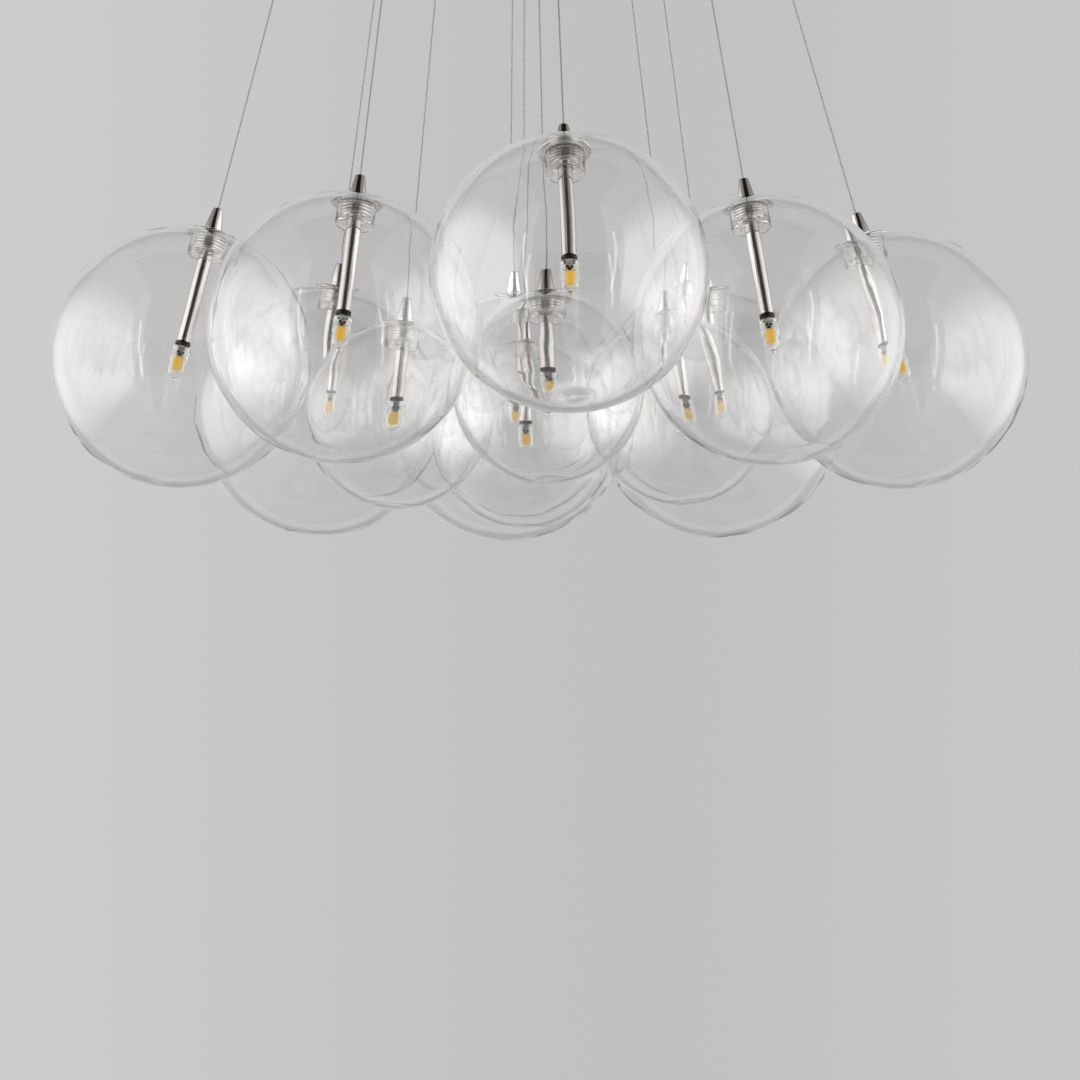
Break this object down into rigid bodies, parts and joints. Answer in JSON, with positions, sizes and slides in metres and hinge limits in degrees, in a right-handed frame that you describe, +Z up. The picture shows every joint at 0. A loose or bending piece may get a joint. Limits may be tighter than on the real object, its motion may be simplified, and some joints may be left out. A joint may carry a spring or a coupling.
{
  "type": "cluster pendant",
  "caption": "Cluster pendant light: clear glass globes, an outer ring of large ones round an inner ring of small ones, on thin steel cables from a round ceiling canopy.",
  "frame": {"origin": "centre of the ceiling plate's upper face, where it meets the ceiling", "axes": "+Z up into the ceiling; -Y is the front, the side the picture is taken from; +X is to the right seen from the front"},
  "size_m": [0.752, 0.8045, 0.8708],
  "materials": {
    "clear_glass": "clear blown glass",
    "lamp_capsule": "clear moulded capsule",
    "polished_nickel": "polished nickel plate",
    "steel_cable": "stranded steel in a clear jacket",
    "canopy_metal": "polished nickel plate",
    "zinc_steel": "zinc plated",
    "white_plastic": "moulded"
  },
  "bodies": {
    "canopy": {"canopy_cup": "canopy_metal", "ceiling_plate": "zinc_steel", "side_screws": "polished_nickel", "cable_glands": "polished_nickel", "gland_nuts": "zinc_steel", "lead_tails": "steel_cable", "lead_connectors": "white_plastic", "led_driver": "white_plastic", "driver_screws": "zinc_steel", "mains_terminal": "white_plastic", "earth_screw": "zinc_steel", "cable_9": "steel_cable", "stem_9": "polished_nickel", "cable_10": "steel_cable", "stem_10": "polished_nickel", "cable_11": "steel_cable", "stem_11": "polished_nickel", "cable_12": "steel_cable", "stem_12": "polished_nickel"},
    "pendant_1": {"cable_1": "steel_cable", "stem_1": "polished_nickel"},
    "globe_1": {"globe_1": "clear_glass"},
    "lamp_1": {"lamp_1": "lamp_capsule"},
    "pendant_2": {"cable_2": "steel_cable", "stem_2": "polished_nickel"},
    "globe_2": {"globe_2": "clear_glass"},
    "lamp_2": {"lamp_2": "lamp_capsule"},
    "pendant_3": {"cable_3": "steel_cable", "stem_3": "polished_nickel"},
    "globe_3": {"globe_3": "clear_glass"},
    "lamp_3": {"lamp_3": "lamp_capsule"},
    "pendant_4": {"cable_4": "steel_cable", "stem_4": "polished_nickel"},
    "globe_4": {"globe_4": "clear_glass"},
    "lamp_4": {"lamp_4": "lamp_capsule"},
    "pendant_5": {"cable_5": "steel_cable", "stem_5": "polished_nickel"},
    "globe_5": {"globe_5": "clear_glass"},
    "lamp_5": {"lamp_5": "lamp_capsule"},
    "pendant_6": {"cable_6": "steel_cable", "stem_6": "polished_nickel"},
    "globe_6": {"globe_6": "clear_glass"},
    "lamp_6": {"lamp_6": "lamp_capsule"},
    "pendant_7": {"cable_7": "steel_cable", "stem_7": "polished_nickel"},
    "globe_7": {"globe_7": "clear_glass"},
    "lamp_7": {"lamp_7": "lamp_capsule"},
    "pendant_8": {"cable_8": "steel_cable", "stem_8": "polished_nickel"},
    "globe_8": {"globe_8": "clear_glass"},
    "lamp_8": {"lamp_8": "lamp_capsule"},
    "globe_9": {"globe_9": "clear_glass"},
    "lamp_9": {"lamp_9": "lamp_capsule"},
    "globe_10": {"globe_10": "clear_glass"},
    "lamp_10": {"lamp_10": "lamp_capsule"},
    "globe_11": {"globe_11": "clear_glass"},
    "lamp_11": {"lamp_11": "lamp_capsule"},
    "globe_12": {"globe_12": "clear_glass"},
    "lamp_12": {"lamp_12": "lamp_capsule"}
  },
  "joints": [
    {"name": "swing_1", "type": "hinge", "parent": "canopy", "child": "pendant_1", "pos_m": [0.00762, -0.09269, -0.0575], "axis": [-0.9933, -0.1157, 0], "range_deg": [0, 15]},
    {"name": "globe_turn_1", "type": "hinge", "parent": "pendant_1", "child": "globe_1", "pos_m": [0.032, -0.302, -0.74911], "axis": [-0.0337, 0.2895, 0.9566], "continuous": true},
    {"name": "lamp_pull_1", "type": "slide", "parent": "pendant_1", "child": "lamp_1", "axis": [0.0337, -0.2895, -0.9566], "range_m": [0, 0.009]},
    {"name": "swing_2", "type": "hinge", "parent": "canopy", "child": "pendant_2", "pos_m": [-0.06015, -0.07093, -0.0575], "axis": [-0.8468, 0.5319, 0], "range_deg": [0, 15]},
    {"name": "globe_turn_2", "type": "hinge", "parent": "pendant_2", "child": "globe_2", "pos_m": [-0.134, -0.1885, -0.76704], "axis": [0.1021, 0.1626, 0.9814], "continuous": true},
    {"name": "lamp_pull_2", "type": "slide", "parent": "pendant_2", "child": "lamp_2", "axis": [-0.1021, -0.1626, -0.9814], "range_m": [0, 0.009]},
    {"name": "swing_3", "type": "hinge", "parent": "canopy", "child": "pendant_3", "pos_m": [-0.09269, -0.00762, -0.0575], "axis": [-0.1295, 0.9916, 0], "range_deg": [0, 15]},
    {"name": "globe_turn_3", "type": "hinge", "parent": "pendant_3", "child": "globe_3", "pos_m": [-0.264, -0.03, -0.75955], "axis": [0.2369, 0.031, 0.971], "continuous": true},
    {"name": "lamp_pull_3", "type": "slide", "parent": "pendant_3", "child": "lamp_3", "axis": [-0.2369, -0.031, -0.971], "range_m": [0, 0.009]},
    {"name": "swing_4", "type": "hinge", "parent": "canopy", "child": "pendant_4", "pos_m": [-0.07093, 0.06015, -0.0575], "axis": [0.7551, 0.6556, 0], "range_deg": [0, 15]},
    {"name": "globe_turn_4", "type": "hinge", "parent": "pendant_4", "child": "globe_4", "pos_m": [-0.165, 0.1685, -0.76612], "axis": [0.1301, -0.1499, 0.9801], "continuous": true},
    {"name": "lamp_pull_4", "type": "slide", "parent": "pendant_4", "child": "lamp_4", "axis": [-0.1301, 0.1499, -0.9801], "range_m": [0, 0.009]},
    {"name": "swing_5", "type": "hinge", "parent": "canopy", "child": "pendant_5", "pos_m": [-0.00762, 0.09269, -0.0575], "axis": [0.9994, 0.0352, 0], "range_deg": [0, 15]},
    {"name": "globe_turn_5", "type": "hinge", "parent": "pendant_5", "child": "globe_5", "pos_m": [-0.015, 0.3025, -0.74935], "axis": [0.0102, -0.2902, 0.9569], "continuous": true},
    {"name": "lamp_pull_5", "type": "slide", "parent": "pendant_5", "child": "lamp_5", "axis": [-0.0102, 0.2902, -0.9569], "range_m": [0, 0.009]},
    {"name": "swing_6", "type": "hinge", "parent": "canopy", "child": "pendant_6", "pos_m": [0.06015, 0.07093, -0.0575], "axis": [0.7936, -0.6084, 0], "range_deg": [0, 15]},
    {"name": "globe_turn_6", "type": "hinge", "parent": "pendant_6", "child": "globe_6", "pos_m": [0.1545, 0.194, -0.76367], "axis": [-0.1305, -0.1702, 0.9767], "continuous": true},
    {"name": "lamp_pull_6", "type": "slide", "parent": "pendant_6", "child": "lamp_6", "axis": [0.1305, 0.1702, -0.9767], "range_m": [0, 0.009]},
    {"name": "swing_7", "type": "hinge", "parent": "canopy", "child": "pendant_7", "pos_m": [0.09269, 0.00762, -0.0575], "axis": [0.0378, -0.9993, 0], "range_deg": [0, 15]},
    {"name": "globe_turn_7", "type": "hinge", "parent": "pendant_7", "child": "globe_7", "pos_m": [0.288, 0.015, -0.75358], "axis": [-0.2701, -0.0102, 0.9628], "continuous": true},
    {"name": "lamp_pull_7", "type": "slide", "parent": "pendant_7", "child": "lamp_7", "axis": [0.2701, 0.0102, -0.9628], "range_m": [0, 0.009]},
    {"name": "swing_8", "type": "hinge", "parent": "canopy", "child": "pendant_8", "pos_m": [0.07093, -0.06015, -0.0575], "axis": [-0.693, -0.7209, 0], "range_deg": [0, 15]},
    {"name": "globe_turn_8", "type": "hinge", "parent": "pendant_8", "child": "globe_8", "pos_m": [0.18, -0.165, -0.76449], "axis": [-0.1509, 0.145, 0.9779], "continuous": true},
    {"name": "lamp_pull_8", "type": "slide", "parent": "pendant_8", "child": "lamp_8", "axis": [0.1509, -0.145, -0.9779], "range_m": [0, 0.009]},
    {"name": "globe_turn_9", "type": "hinge", "parent": "canopy", "child": "globe_9", "pos_m": [0.017, -0.109, -0.79814], "axis": [-0.0215, 0.0994, 0.9948], "continuous": true},
    {"name": "lamp_pull_9", "type": "slide", "parent": "canopy", "child": "lamp_9", "axis": [0.0215, -0.0994, -0.9948], "range_m": [0, 0.009]},
    {"name": "globe_turn_10", "type": "hinge", "parent": "canopy", "child": "globe_10", "pos_m": [-0.0985, 0.003, -0.79927], "axis": [0.0853, -0.0053, 0.9963], "continuous": true},
    {"name": "lamp_pull_10", "type": "slide", "parent": "canopy", "child": "lamp_10", "axis": [-0.0853, 0.0053, -0.9963], "range_m": [0, 0.009]},
    {"name": "globe_turn_11", "type": "hinge", "parent": "canopy", "child": "globe_11", "pos_m": [-0.002, 0.111, -0.79811], "axis": [0.0014, -0.1021, 0.9948], "continuous": true},
    {"name": "lamp_pull_11", "type": "slide", "parent": "canopy", "child": "lamp_11", "axis": [-0.0014, 0.1021, -0.9948], "range_m": [0, 0.009]},
    {"name": "globe_turn_12", "type": "hinge", "parent": "canopy", "child": "globe_12", "pos_m": [0.1195, -0.001, -0.79719], "axis": [-0.1135, 0.0027, 0.9935], "continuous": true},
    {"name": "lamp_pull_12", "type": "slide", "parent": "canopy", "child": "lamp_12", "axis": [0.1135, -0.0027, -0.9935], "range_m": [0, 0.009]}
  ]
}
